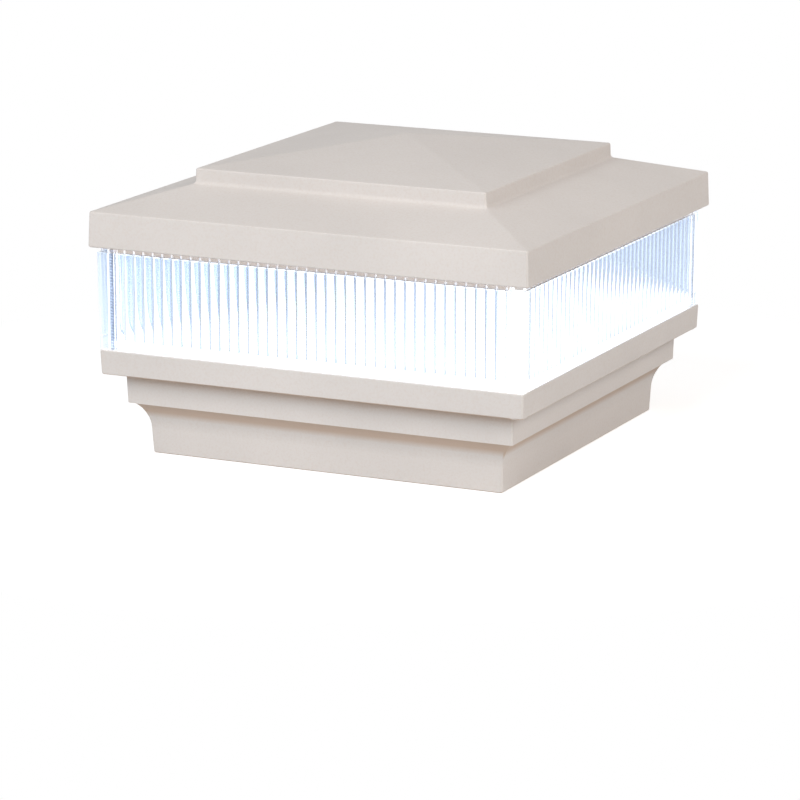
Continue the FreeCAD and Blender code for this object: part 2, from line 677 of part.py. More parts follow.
def roof_stops():
    """Short ribs across the channel between collar and brim, which the roof seal bears on."""
    across_channel = (COLLAR_HALF - COLLAR_T / 2, BRIM_INNER_HALF + BRIM_WALL / 2)
    top = slope_underside(BRIM_INNER_HALF) + ROOF_WALL / 4
    first = STOP_END - COLUMN_CENTRE
    spacing = -2 * first / (STOPS_PER_SIDE - 1)
    stops = []
    for index in range(STOPS_PER_SIDE):
        x = first + index * spacing
        stops += around(box((x - STOP_T / 2, x + STOP_T / 2), across_channel, (ROOF_SEAL_TOP_Z, top)))
    return stops


def roof_webs(outer):
    """Crossed webs that stiffen the wide slope and the upper tier."""
    reach = COLLAR_HALF - COLLAR_T / 2
    webs = []
    for x in (-WEB_AT, WEB_AT):
        web = box((x - WEB_T / 2, x + WEB_T / 2), (-reach, reach), (BRIM_TOP_Z - WEB_DROP, APEX_Z))
        web = web.common(outer)
        webs += [web, turned(web, 90)]
    return webs


def roof_cap():
    outer = mitred(roof_outline(), EDGE_BREAK)
    shell = outer.cut(roof_hollow())
    boss_top = slope_underside(COLUMN_CENTRE) + ROOF_WALL / 2
    bosses = rods(ROOF_BOSS_R, COLUMN_CENTRE, (BOSS_BOTTOM_Z, boss_top))
    body = fused(shell, [roof_collar()] + roof_stops() + roof_webs(outer) + bosses)
    screw_top = TIE_SEAT_Z + TIE_SCREW_LENGTH + PILOT_SPARE
    holes = tie_holes(INSERT_R + CLEARANCE, (BOSS_BOTTOM_Z - WALL, INSERT_TOP_Z))
    holes += tie_holes(SCREW_BORE_R, (BOSS_BOTTOM_Z, screw_top))
    return body.cut(holes).removeSplitter()


def brass_insert(x, y):
    """Waisted threaded insert, up against the shoulder of its boss."""
    low = INSERT_TOP_Z - INSERT_LENGTH
    middle = low + INSERT_LENGTH / 2
    waist_z = (middle - INSERT_WAIST / 2, middle + INSERT_WAIST / 2)
    waist = rod(INSERT_R + WALL, x, y, waist_z).cut(rod(INSERT_WAIST_R, x, y, waist_z))
    bore = rod(SCREW_BORE_R, x, y, (low - WALL, INSERT_TOP_Z + WALL))
    return rod(INSERT_R, x, y, (low, INSERT_TOP_Z)).cut([waist, bore])


def roof_seal():
    """Four foam strips on top of the lens spigot."""
    half_length = COLUMN_CENTRE - ROOF_SEAL_END
    middle = SPIGOT_HALF - SPIGOT_WALL / 2 - REED_DEPTH / 2
    y_range = (middle - ROOF_SEAL_WIDTH / 2, middle + ROOF_SEAL_WIDTH / 2)
    return around(box((-half_length, half_length), y_range, (SPIGOT_TOP_Z, ROOF_SEAL_TOP_Z)))


# ================================================================ light tray, board and diffuser
def lead_holes(z_range):
    """Clear holes for the two leads."""
    radius = LEAD_R + 2 * CLEARANCE
    return [rod(radius, side * LEAD_PITCH / 2, LEAD_HEAD_Y, z_range) for side in (-1, 1)]


def light_tray():
    ledge = SHELF_Z + CLEARANCE
    outer = mitred([
        (0, TRAY_BOTTOM_Z, 0),
        (TRAY_WELL_HALF, TRAY_BOTTOM_Z, TRAY_EDGE_R),
        (TRAY_WELL_HALF, ledge, 0),
        (TRAY_HALF, ledge, 0),
        (TRAY_HALF, TRAY_TOP_Z, 0),
        (0, TRAY_TOP_Z, 0),
    ])
    inner = mitred([
        (0, TRAY_FLOOR_Z, 0),
        (TRAY_WELL_HALF - TRAY_WALL, TRAY_FLOOR_Z, TRAY_EDGE_R / 2),
        (TRAY_WELL_HALF - TRAY_WALL, ledge + TRAY_WALL, 0),
        (TRAY_HALF - TRAY_WALL, ledge + TRAY_WALL, 0),
        (TRAY_HALF - TRAY_WALL, TRAY_TOP_Z + TRAY_WALL, 0),
        (0, TRAY_TOP_Z + TRAY_WALL, 0),
    ])
    tall = (TRAY_BOTTOM_Z - WALL, TRAY_TOP_Z + WALL)
    notches = rods(TRAY_NOTCH_R, COLUMN_CENTRE, tall)
    notch_walls = rods(TRAY_NOTCH_R + TRAY_WALL, COLUMN_CENTRE, tall)
    tray = outer.cut(notches).cut(inner.cut(notch_walls))
    boss_z = (TRAY_BOTTOM_Z - BOARD_BOSS_HEIGHT, TRAY_BOTTOM_Z + TRAY_WALL / 2)
    tray = fused(tray, rods(STANDOFF_R, BOARD_SCREW_AT, boss_z))
    through = (boss_z[0] - WALL, TRAY_FLOOR_Z + WALL)
    holes = rods(SMALL_SCREW[0] + CLEARANCE, BOARD_SCREW_AT, through)
    holes += rods(TRAY_SCREW[0] + CLEARANCE, TRAY_SCREW_AT, through)
    return tray.cut(holes + lead_holes(through)).removeSplitter()


def heat_spreader():
    plate = square(SPREADER_HALF, (TRAY_FLOOR_Z, LED_BOARD_Z))
    plate = round_upright_edges(plate, SPREADER_CORNER_R)
    through = (TRAY_FLOOR_Z - WALL, LED_BOARD_Z + WALL)
    return plate.cut(rods(SMALL_SCREW[0] + CLEARANCE, BOARD_SCREW_AT, through) + lead_holes(through))


def led_board():
    board = square(LED_BOARD_HALF, (LED_BOARD_Z, LED_BOARD_TOP_Z))
    board = round_upright_edges(board, LED_BOARD_CORNER_R)
    through = (LED_BOARD_Z - WALL, LED_BOARD_TOP_Z + WALL)
    return board.cut(rods(SMALL_SCREW[0] + CLEARANCE, BOARD_SCREW_AT, through))


def led_chips():
    first = LED_EDGE - LED_BOARD_HALF
    pitch = -2 * first / (LED_ROWS - 1)
    places = [first + index * pitch for index in range(LED_ROWS)]
    size = (LED_LENGTH, LED_WIDTH, LED_HEIGHT)
    return [block(x, y, size, LED_BOARD_TOP_Z) for x in places for y in places]


def diffuser_plate():
    plate = square(LENS_INNER_HALF - CLEARANCE, (TRAY_TOP_Z, DIFFUSER_TOP_Z))
    return plate.cut(rods(COLUMN_R + CLEARANCE, COLUMN_CENTRE, (TRAY_TOP_Z - WALL, RAIL_TOP_Z)))


# ================================================================ driver board and what is on it
def on_board(place):
    """Board place (x, y), in the part's own coordinates."""
    return place[0], BOARD_MID_Y + place[1]


def driver_board():
    board = block(0, BOARD_MID_Y, (DRIVER_BOARD_X, DRIVER_BOARD_Y, DRIVER_BOARD_T), BOARD_Z)
    board = round_upright_edges(board, DRIVER_BOARD_CORNER_R)
    through = (BOARD_Z - WALL, BOARD_TOP_Z + WALL)
    radius = SMALL_SCREW[0] + CLEARANCE
    return board.cut([rod(radius, x, y, through) for x, y in driver_screw_points()])


def bridge_rectifier():
    """Flat moulded body with four legs."""
    x, y = on_board(RECTIFIER_AT)
    length, width, height = RECTIFIER_SIZE
    body = block(x, y, RECTIFIER_SIZE, BOARD_TOP_Z + LEG_T * 0.8)
    top = [edge for edge in body.Edges if edge.BoundBox.ZMin > BOARD_TOP_Z + height]
    body = body.makeChamfer(LEG_T, top)
    legs = []
    for side in (-1, 1):
        for end in (-1, 1):
            leg_x = x + side * RECTIFIER_LEGS / 2
            leg_y = y + end * (width / 2 + LEG_T)
            legs.append(block(leg_x, leg_y, (2 * LEG_T, 3 * LEG_T, LEG_T), BOARD_TOP_Z))
    return fused(body, legs)


def smoothing_capacitor():
    """Upright can with a rolled groove near its foot."""
    x, y = on_board(CAPACITOR_AT)
    top = BOARD_TOP_Z + CAPACITOR_HEIGHT
    groove_z = BOARD_TOP_Z + CAPACITOR_GROOVE_Z
    section = [
        (0, BOARD_TOP_Z),
        (CAPACITOR_R, BOARD_TOP_Z),
        (CAPACITOR_R, groove_z - CAPACITOR_GROOVE),
        (CAPACITOR_R - CAPACITOR_GROOVE, groove_z),
        (CAPACITOR_R, groove_z + CAPACITOR_GROOVE),
        (CAPACITOR_R, top - LEG_T),
        (CAPACITOR_R - LEG_T, top),
        (0, top),
    ]
    return revolved(section, x, y)


def choke_core():
    """Drum core, two flanges on a post."""
    x, y = on_board(CHOKE_AT)
    top = BOARD_TOP_Z + CHOKE_HEIGHT
    post = rod(CHOKE_POST_R, x, y, (BOARD_TOP_Z, top))
    lower = rod(CHOKE_R, x, y, (BOARD_TOP_Z, BOARD_TOP_Z + CHOKE_FLANGE_T))
    upper = rod(CHOKE_R, x, y, (top - CHOKE_FLANGE_T, top))
    return fused(post, [lower, upper])


def choke_winding():
    x, y = on_board(CHOKE_AT)
    z_range = (BOARD_TOP_Z + CHOKE_FLANGE_T, BOARD_TOP_Z + CHOKE_HEIGHT - CHOKE_FLANGE_T)
    return rod(WINDING_R, x, y, z_range).cut(rod(CHOKE_POST_R + CLEARANCE, x, y, z_range))


def driver_chip():
    """Small moulded chip with four legs on each side."""
    x, y = on_board(CHIP_AT)
    length, width, height = CHIP_SIZE
    body = block(x, y, CHIP_SIZE, BOARD_TOP_Z + LEG_T / 2)
    legs = []
    for index in range(4):
        leg_y = y + (index - 1.5) * CHIP_LEG_PITCH
        for side in (-1, 1):
            leg_x = x + side * (length / 2 + LEG_T)
            legs.append(block(leg_x, leg_y, (3 * LEG_T, LEG_T, LEG_T), BOARD_TOP_Z))
    return fused(body, legs)


def terminal_places():
    """Middle of each clamp screw."""
    y = DRIVER_BOARD_OFFSET + TERMINAL_SETBACK + TERMINAL_SIZE[1] / 2
    return [(side * TERMINAL_PITCH / 2, y) for side in (-1, 1)]


def terminal_block():
    """Two-way block: wire entries towards the inlet, clamp screws from above."""
    length, width, height = TERMINAL_SIZE
    middle_y = terminal_places()[0][1]
    top = BOARD_TOP_Z + height
    body = block(0, middle_y, TERMINAL_SIZE, BOARD_TOP_Z)
    rim = [edge for edge in body.Edges if edge.BoundBox.ZMin > top - 0.1 and edge.BoundBox.YLength < 0.1]
    body = body.makeChamfer(height / 9, rim)
    entry_low = BOARD_TOP_Z + WIRE_ENTRY_FLOOR
    entry_high = entry_low + WIRE_ENTRY
    cuts = []
    for x, y in terminal_places():
        entry_x = (x - WIRE_ENTRY / 2, x + WIRE_ENTRY / 2)
        cuts.append(box(entry_x, (y - width, y + width / 4), (entry_low, entry_high)))
        cuts.append(rod(TERMINAL_SCREW_R + CLEARANCE, x, y, (entry_low, top + WALL)))
    return body.cut(cuts)


def terminal_screws():
    """Slotted clamp screws, run down to the floor of the wire entries."""
    low = BOARD_TOP_Z + WIRE_ENTRY_FLOOR
    top = BOARD_TOP_Z + TERMINAL_SIZE[2] - 2 * CLEARANCE
    slot_size = (3 * TERMINAL_SCREW_R, 2 * CLEARANCE, WALL)
    screws = []
    for x, y in terminal_places():
        body = rod(TERMINAL_SCREW_R, x, y, (low, top))
        screws.append(body.cut(block(x, y, slot_size, top - TERMINAL_SCREW_R / 2)))
    return screws


def lead(side):
    """Short wire from the driver board up to the underside of the light board, in an S bend."""
    x = side * LEAD_PITCH / 2
    turn = math.radians(LEAD_BEND)
    radius = LEAD_SHIFT / 2 / (1 - math.cos(turn))
    rise = radius * math.sin(turn)
    start_z = (BOARD_TOP_Z + TRAY_BOTTOM_Z) / 2 - rise
    bend_y = radius * (1 - math.cos(turn / 2))
    bend_z = radius * math.sin(turn / 2)

    def at(y, z):
        return FreeCAD.Vector(x, y, z)

    foot = at(LEAD_FOOT_Y, BOARD_TOP_Z)
    first = at(LEAD_FOOT_Y, start_z)
    middle = at(LEAD_FOOT_Y + LEAD_SHIFT / 2, start_z + rise)
    last = at(LEAD_HEAD_Y, start_z + 2 * rise)
    path = Part.Wire([
        Part.makeLine(foot, first),
        Part.Arc(first, at(LEAD_FOOT_Y + bend_y, start_z + bend_z), middle).toShape(),
        Part.Arc(middle, at(LEAD_HEAD_Y - bend_y, last.z - bend_z), last).toShape(),
        Part.makeLine(last, at(LEAD_HEAD_Y, LED_BOARD_Z)),
    ])
    ring = Part.Wire(Part.makeCircle(LEAD_R, foot))
    return path.makePipeShell([ring], True, True)


def cable_grommet():
    """Rubber ring, grooved to snap into the mounting plate, with a soft lip above."""
    low = PLATE_Z - GROMMET_FLANGE_T
    high = PLATE_TOP_Z + GROMMET_FLANGE_T
    bevel = GROMMET_FLANGE_T / 3
    section = [
        (GROMMET_BORE_R, low),
        (GROMMET_FLANGE_R - bevel, low),
        (GROMMET_FLANGE_R, low + bevel),
        (GROMMET_FLANGE_R, PLATE_Z),
        (GROMMET_NECK_R, PLATE_Z),
        (GROMMET_NECK_R, PLATE_TOP_Z),
        (GROMMET_FLANGE_R, PLATE_TOP_Z),
        (GROMMET_FLANGE_R - bevel, high),
        (GROMMET_BORE_R + 2 * bevel, high),
        (GROMMET_BORE_R + bevel, high + GROMMET_LIP),
        (GROMMET_BORE_R, high + GROMMET_LIP),
    ]
    return revolved(section, 0, 0)


# ================================================================ build
def fasteners():
    """Each group of identical screws is one node."""
    points = tie_points()
    save("tie_screws", [screw(TIE_SCREW, TIE_SCREW_LENGTH, x, y, TIE_SEAT_Z, True) for x, y in points])
    save("brass_inserts", [brass_insert(x, y) for x, y in points])
    points = corners(TRAY_SCREW_AT)
    save("tray_screws", [screw(TRAY_SCREW, TRAY_SCREW_LENGTH, x, y, TRAY_FLOOR_Z) for x, y in points])
    points = corners(BOARD_SCREW_AT)
    save("board_screws", [screw(SMALL_SCREW, BOARD_SCREW_LENGTH, x, y, LED_BOARD_TOP_Z) for x, y in points])
    points = plate_screw_points()
    save("plate_screws", [screw(SMALL_SCREW, PLATE_SCREW_LENGTH, x, y, PLATE_TOP_Z) for x, y in points])
    points = driver_screw_points()
    save("driver_screws", [screw(SMALL_SCREW, DRIVER_SCREW_LENGTH, x, y, BOARD_TOP_Z) for x, y in points])


def main():
    save("base_housing", base_housing())
    save("mounting_plate", mounting_plate())
    save("lens_seal", lens_seal())
    save("fluted_lens", fluted_lens())
    save("roof_cap", roof_cap())
    save("roof_seal", roof_seal())
    save("light_tray", light_tray())
    save("heat_spreader", heat_spreader())
    save("led_board", led_board())
    save("led_chips", led_chips())
    save("diffuser_plate", diffuser_plate())
    save("driver_board", driver_board())
    save("bridge_rectifier", bridge_rectifier())
    save("smoothing_capacitor", smoothing_capacitor())
    save("choke_core", choke_core())
    save("choke_winding", choke_winding())
    save("driver_chip", driver_chip())
    save("terminal_block", terminal_block())
    save("terminal_screws", terminal_screws())
    save("lead_red", lead(1))
    save("lead_black", lead(-1))
    save("cable_grommet", cable_grommet())
    fasteners()


if __name__ == "__main__":
    main()
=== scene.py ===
"""Looks of the deck post cap light: a finish for every piece, soft lamps, floor and camera.

Lengths are in metres, unless a comment says otherwise, and +Z is up.
"""

import math

import bpy
from mathutils import Euler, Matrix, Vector

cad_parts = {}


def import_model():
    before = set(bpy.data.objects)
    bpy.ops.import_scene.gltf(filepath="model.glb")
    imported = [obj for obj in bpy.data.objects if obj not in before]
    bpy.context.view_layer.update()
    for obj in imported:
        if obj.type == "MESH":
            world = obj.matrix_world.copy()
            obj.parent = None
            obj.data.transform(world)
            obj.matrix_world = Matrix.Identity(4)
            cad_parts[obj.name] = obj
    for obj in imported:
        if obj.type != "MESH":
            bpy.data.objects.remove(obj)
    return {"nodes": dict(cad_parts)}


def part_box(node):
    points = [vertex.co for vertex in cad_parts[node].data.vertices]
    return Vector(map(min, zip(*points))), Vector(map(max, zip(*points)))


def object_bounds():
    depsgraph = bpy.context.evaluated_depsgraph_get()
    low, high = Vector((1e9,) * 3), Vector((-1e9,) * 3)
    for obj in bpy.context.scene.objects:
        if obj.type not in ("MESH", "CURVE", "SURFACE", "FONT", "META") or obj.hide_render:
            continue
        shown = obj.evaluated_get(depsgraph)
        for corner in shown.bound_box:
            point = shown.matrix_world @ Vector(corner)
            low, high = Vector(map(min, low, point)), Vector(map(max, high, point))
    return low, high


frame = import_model()
cad_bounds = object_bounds()

MM = 0.001

# ---------------------------------------------------------------- camera, as the photograph was taken
VIEW_AZIMUTH = 25.30               # degrees; 0 is in front of the wide left face
VIEW_ELEVATION = 13.37
VIEW_DISTANCE = 1652.5 * MM
VIEW_RIGHT_SHIFT = -2.85 * MM      # the camera's target, sideways from the middle line
VIEW_TARGET_Z = 13.0 * MM
FOCAL_LENGTH = 180.4               # mm, for a square picture as wide as the sensor
SENSOR_WIDTH = 36.0                # mm

# ---------------------------------------------------------------- studio
WORLD_STRENGTH = 0.24              # what the surroundings give to the object; they are seen at 1
FLOOR_LIFT = 0.62                  # the floor's own light, where it is seen
FLOOR_SIZE = 12.0
FLOOR_GAP = 0.1 * MM               # from the object down to the floor
FLOOR_NEAR = 0.12                  # from here to FLOOR_FAR the floor fades into the white backdrop
FLOOR_FAR = 0.28
LAMP_TARGET_Z = 60 * MM
LAMP_SIZE = 1.0
LAMPS = (                          # azimuth and elevation in degrees, distance, watts, colour
    ("key", -12, 36, 1.6, 16.4, (1.0, 0.995, 0.985)),
    ("side", 78, 31, 1.8, 14.3, (1.0, 0.918, 0.845)),
)

# ---------------------------------------------------------------- zones of the lens
CORNER_REACH = 10.3 * MM           # plain corner, in from the lens's outer face
EDGE_REACH = 5.2 * MM              # its outer part, with a stronger painted glow
COLLAR_HEIGHT = 3.95 * MM          # recessed collar at the top
RAIL_HEIGHT = 3.9 * MM             # plain rail at the foot
PAINTED_GLOW_HEIGHT = 20 * MM              # painted glow of the reeds reaches up to here above the rail, near the lit floor
ZONE_BLEND = 0.6 * MM              # width of the soft border between two zones

# ---------------------------------------------------------------- light that the lit pieces give; in the lens it is painted glow
LENS_PAINTED_GLOW = 0.32                   # strength of the painted glow in the lens; the next four are shares of it
INNER_CORNER_PAINTED_GLOW = 0.15
OUTER_CORNER_PAINTED_GLOW = 0.85
RAIL_PAINTED_GLOW = 0.5
REED_PAINTED_GLOW = 0.12
PLATE_GLOW = 1.8
PLATE_DIM = 0.85                   # share that is left between the chips
CHIP_GLOW = 2.0
CHIP_ROWS = 6
CHIP_LENGTH = 3.5 * MM

# ---------------------------------------------------------------- painted warm shade in the greige pieces
SHADE_RECESS_START = 0.80                # share of open air at which painted warm shade starts in a recess
SHADE_RECESS_FULL = 0.62                 # and at which it is fully so
SHADE_LEAN_START = -0.36                 # upward part of the normal, at which painted warm shade starts on a leaning wall
SHADE_LEAN_FULL = -0.54
FLAT_START = -0.85                 # towards FLAT_FULL, undersides that are nearly flat go plain again
FLAT_FULL = -0.95
SHADE_LEAN_SHARE = 0.7                   # painted warm shade on a leaning wall, as a share of that in a recess

# ---------------------------------------------------------------- screws
TIE_HEAD = 2.1 * MM                # height of the head
TRAY_HEAD = 1.9 * MM
SMALL_HEAD = 1.5 * MM
TIE_PITCH = 1.2 * MM
TRAY_PITCH = 0.9 * MM
SMALL_PITCH = 0.7 * MM

# ---------------------------------------------------------------- colours, linear
WHITE = (1.0, 1.0, 1.0)
BLACK = (0.0, 0.0, 0.0)
GREIGE = (0.700, 0.669, 0.652)
# warm speckle tone, and also the colour of the painted warm shade in recesses and on leaning walls
GREIGE_WARM = (0.520, 0.370, 0.265)
ACRYLIC_CLEAR = (0.96, 0.955, 0.95)
ACRYLIC_TINT = (0.73, 0.79, 0.90)
ACRYLIC_DEPTH = (0.35, 0.62, 0.86)  # absorption: white light turns towards this along its way
ACRYLIC_DENSITY = 18.0              # absorption, in each metre
# painted light over the lens's collar, standing in for the lit greige collar behind it
COLLAR_PAINTED_LIGHT = (0.34, 0.265, 0.21)
LAMP_WHITE = (0.90, 0.95, 1.0)
TRAY_WHITE = (0.82, 0.82, 0.80)
STEEL = (0.74, 0.75, 0.78)
# darker thread roots of the screws: painted shade in the grooves
STEEL_ROOT_SHADE = (0.34, 0.36, 0.42)
DARK_ZINC = (0.29, 0.36, 0.50)
ZINC_ROOT_SHADE = (0.15, 0.20, 0.32)
BRASS = (0.72, 0.50, 0.22)
ALUMINIUM = (0.74, 0.75, 0.77)

# ---------------------------------------------------------------- sockets of the colour Mix node
MIX_FACTOR, MIX_A, MIX_B, MIX_RESULT = 0, 6, 7, 2


# ---------------------------------------------------------------- node helpers
def node(tree, kind, inputs=None, **settings):
    """Add one shader node; an input is a value, or a socket to link from."""
    made = tree.nodes.new(kind)
    for key, value in settings.items():
        setattr(made, key, value)
    for key, value in (inputs or {}).items():
        if isinstance(value, bpy.types.NodeSocket):
            tree.links.new(value, made.inputs[key])
        else:
            made.inputs[key].default_value = value
    return made


def rgba(colour):
    return (colour[0], colour[1], colour[2], 1.0)


def shade(colour, factor):
    """The same colour, lighter or darker."""
    return tuple(value * factor for value in colour)


def new_material(name):
    """Empty material with an output, and the object's own coordinates in metres."""
    material = bpy.data.materials.new(name)
    material.use_nodes = True
    tree = material.node_tree
    tree.nodes.clear()
    output = node(tree, "ShaderNodeOutputMaterial")
    place = node(tree, "ShaderNodeTexCoord").outputs["Object"]
    return material, tree, output, place


def noise(tree, place, size, detail=3.0, roughness=0.5):
    """Noise whose blobs are about one size across."""
    return node(tree, "ShaderNodeTexNoise", {
        "Vector": place, "Scale": 1.0 / size, "Detail": detail, "Roughness": roughness,
    }).outputs["Fac"]


def ramp(tree, factor, low, high, to_low=0.0, to_high=1.0):
    """Spread factor from low..high over to_low..to_high."""
    return node(tree, "ShaderNodeMapRange", {
        "Value": factor, "From Min": low, "From Max": high, "To Min": to_low, "To Max": to_high,
    }).outputs["Result"]


def mix(tree, factor, first, second):
    """Blend two colours; each is a colour or a socket."""
    first, second = (rgba(value) if isinstance(value, tuple) else value for value in (first, second))
    return node(tree, "ShaderNodeMix", {
        MIX_FACTOR: factor, MIX_A: first, MIX_B: second,
    }, data_type="RGBA").outputs[MIX_RESULT]


def maths(tree, operation, first, second=0.0):
    """One arithmetic step on two values or sockets."""
    return node(tree, "ShaderNodeMath", {0: first, 1: second}, operation=operation).outputs["Value"]


def axes(tree, vector):
    """The X, Y and Z sockets of a vector."""
    return node(tree, "ShaderNodeSeparateXYZ", {"Vector": vector}).outputs


def bump(tree, height, depth, strength=1.0):
    """Normal from a height of 0..1 that stands for depth in metres."""
    return node(tree, "ShaderNodeBump", {
        "Height": height, "Distance": depth, "Strength": strength,
    }).outputs["Normal"]


def surface(tree, output, inputs):
    """Principled shader, linked to the output."""
    shader = node(tree, "ShaderNodeBsdfPrincipled", inputs)
    tree.links.new(shader.outputs["BSDF"], output.inputs["Surface"])
    return shader


def emission(tree, colour, strength):
    return node(tree, "ShaderNodeEmission", {
        "Color": rgba(colour), "Strength": strength,
    }).outputs["Emission"]


def backdrop_ray(tree):
    """1 for rays that show the white backdrop: the camera's, and those off gloss or through glass."""
    paths = node(tree, "ShaderNodeLightPath").outputs
    seen = maths(tree, "MAXIMUM", paths["Is Camera Ray"], paths["Is Glossy Ray"])
    return maths(tree, "MAXIMUM", seen, paths["Is Transmission Ray"])


# ---------------------------------------------------------------- plastics
def greige_plastic(name, painted_shade_reach, painted_shade_strength):
    """Satin moulded plastic: faint flow marks, a fine grain, and painted warm shade in the recesses and
    on walls that lean out.
    """
    material, tree, output, place = new_material(name)
    flow = noise(tree, place, 60 * MM, detail=4.0)
    speckle = noise(tree, place, 0.9 * MM, detail=2.0)
    grain = noise(tree, place, 0.35 * MM, detail=3.0)
    colour = mix(tree, ramp(tree, flow, 0.3, 0.7), shade(GREIGE, 1.03), shade(GREIGE, 0.96))
    colour = mix(tree, ramp(tree, speckle, 0.45, 0.75, 0.0, 0.12), colour, GREIGE_WARM)
    # painted warm shade where ambient occlusion finds the place closed in
    open_air = node(tree, "ShaderNodeAmbientOcclusion", {
        "Distance": painted_shade_reach,
    }, samples=8, only_local=True).outputs["AO"]
    recess_shade = ramp(tree, open_air, SHADE_RECESS_START, SHADE_RECESS_FULL, 0.0, painted_shade_strength)
    # painted warm shade also on a wall that leans out over what is below it, such as the top of the cove
    upward = axes(tree, node(tree, "ShaderNodeTexCoord").outputs["Normal"])["Z"]
    leaning_shade = maths(
        tree, "MULTIPLY",
        ramp(tree, upward, SHADE_LEAN_START, SHADE_LEAN_FULL),
        ramp(tree, upward, FLAT_FULL, FLAT_START),
    )
    leaning_shade = maths(tree, "MULTIPLY", leaning_shade, painted_shade_strength * SHADE_LEAN_SHARE)
    colour = mix(tree, maths(tree, "MAXIMUM", recess_shade, leaning_shade), colour, GREIGE_WARM)
    surface(tree, output, {
        "Base Color": colour,
        "Roughness": ramp(tree, speckle, 0.2, 0.8, 0.48, 0.60),
        "Specular IOR Level": 0.15,
        "Normal": bump(tree, grain, 0.012 * MM, 0.6),
    })
    return material


def clear_acrylic():
    """Clear moulded acrylic: blue where the reeds gather the light, with painted glow in its corners,
    foot and lower reeds, and painted light over its collar.
    """
    material, tree, output, place = new_material("clear_acrylic")
    low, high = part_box("fluted_lens")
    flow = noise(tree, place, 9 * MM, detail=2.0)
    haze = noise(tree, place, 25 * MM, detail=3.0)
    x, y, z = axes(tree, place)

    # zones: plain corners with stronger painted glow in their outer part, a collar with painted light,
    # and a rail and reeds near the lit floor with painted glow
    nearer = maths(tree, "MINIMUM", maths(tree, "ABSOLUTE", x), maths(tree, "ABSOLUTE", y))
    corner_start = high.x - CORNER_REACH
    corner = ramp(tree, nearer, corner_start, corner_start + ZONE_BLEND)
    edge_start = high.x - EDGE_REACH
    edge = ramp(
        tree, nearer, edge_start, edge_start + ZONE_BLEND, INNER_CORNER_PAINTED_GLOW, OUTER_CORNER_PAINTED_GLOW)
    ledge = high.z - COLLAR_HEIGHT
    collar = ramp(tree, z, ledge - 0.8 * MM, ledge + 0.2 * MM)
    rail_top = low.z + RAIL_HEIGHT
    rail = ramp(tree, z, rail_top + 0.5 * MM, rail_top - 0.5 * MM, 0.0, RAIL_PAINTED_GLOW)
    reed_painted_glow = ramp(tree, z, rail_top + PAINTED_GLOW_HEIGHT, rail_top, 0.0, REED_PAINTED_GLOW)

    tinted = mix(tree, ramp(tree, haze, 0.35, 0.65), ACRYLIC_TINT, shade(ACRYLIC_TINT, 0.96))
    plain = maths(tree, "MAXIMUM", collar, corner)
    # painted glow, though the lens is no lamp
    glow = maths(
        tree, "MAXIMUM",
        maths(tree, "MULTIPLY", corner, edge),
        maths(tree, "MAXIMUM", rail, reed_painted_glow),
    )
    glass = surface(tree, output, {
        "Base Color": mix(tree, plain, tinted, ACRYLIC_CLEAR),
        "Roughness": ramp(tree, haze, 0.2, 0.8, 0.05, 0.09),
        "IOR": 1.49,
        "Transmission Weight": 1.0,
        "Emission Color": mix(tree, collar, mix(tree, glow, BLACK, LAMP_WHITE), COLLAR_PAINTED_LIGHT),
        "Emission Strength": LENS_PAINTED_GLOW,
        "Normal": bump(tree, flow, 0.02 * MM, 0.5),
    })

    # light from the lamps goes straight through, so that it reaches what is behind the lens
    shadow = node(tree, "ShaderNodeLightPath").outputs["Is Shadow Ray"]
    straight = node(tree, "ShaderNodeBsdfTransparent", {"Color": rgba(ACRYLIC_CLEAR)})
    both = node(tree, "ShaderNodeMixShader", {
        0: shadow, 1: glass.outputs["BSDF"], 2: straight.outputs["BSDF"],
    })
    tree.links.new(both.outputs["Shader"], output.inputs["Surface"])

    # thick corners look bluer than the thin walls
    absorbed = node(tree, "ShaderNodeVolumeAbsorption", {
        "Color": rgba(ACRYLIC_DEPTH), "Density": ACRYLIC_DENSITY,
    })
    tree.links.new(absorbed.outputs["Volume"], output.inputs["Volume"])
    return material


def opal_acrylic():
    """Lit opal plate: brighter over each chip below it."""
    material, tree, output, place = new_material("opal_acrylic")
    low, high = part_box("led_chips")
    pitch = (high.x - low.x - CHIP_LENGTH) / (CHIP_ROWS - 1)
    x, y, _ = axes(tree, place)
    off_x, off_y = (
        maths(tree, "PINGPONG", maths(tree, "SUBTRACT", along, pitch / 2), pitch / 2)
        for along in (x, y))
    squares = maths(
        tree, "ADD", maths(tree, "POWER", off_x, 2.0), maths(tree, "POWER", off_y, 2.0))
    spot = ramp(tree, maths(tree, "SQRT", squares), 0.0, pitch * 0.7, 1.0, 0.0)
    patch = noise(tree, place, 30 * MM)
    surface(tree, output, {
        "Base Color": mix(tree, patch, (0.86, 0.87, 0.88), (0.90, 0.91, 0.92)),
        "Roughness": 0.5,
        "Emission Color": mix(tree, spot, shade(LAMP_WHITE, PLATE_DIM), LAMP_WHITE),
        "Emission Strength": PLATE_GLOW,
        "Normal": bump(tree, noise(tree, place, 0.5 * MM), 0.01 * MM, 0.5),
    })
    return material


def white_plastic():
    """Matt white tray: faint flow marks and a fine grain."""
    material, tree, output, place = new_material("white_plastic")
    flow = noise(tree, place, 40 * MM, detail=4.0)
    surface(tree, output, {
        "Base Color": mix(tree, ramp(tree, flow, 0.3, 0.7), TRAY_WHITE, (0.78, 0.78, 0.75)),
        "Roughness": ramp(tree, flow, 0.2, 0.8, 0.40, 0.50),
        "Specular IOR Level": 0.3,
        "Normal": bump(tree, noise(tree, place, 0.4 * MM), 0.012 * MM, 0.6),
    })
    return material


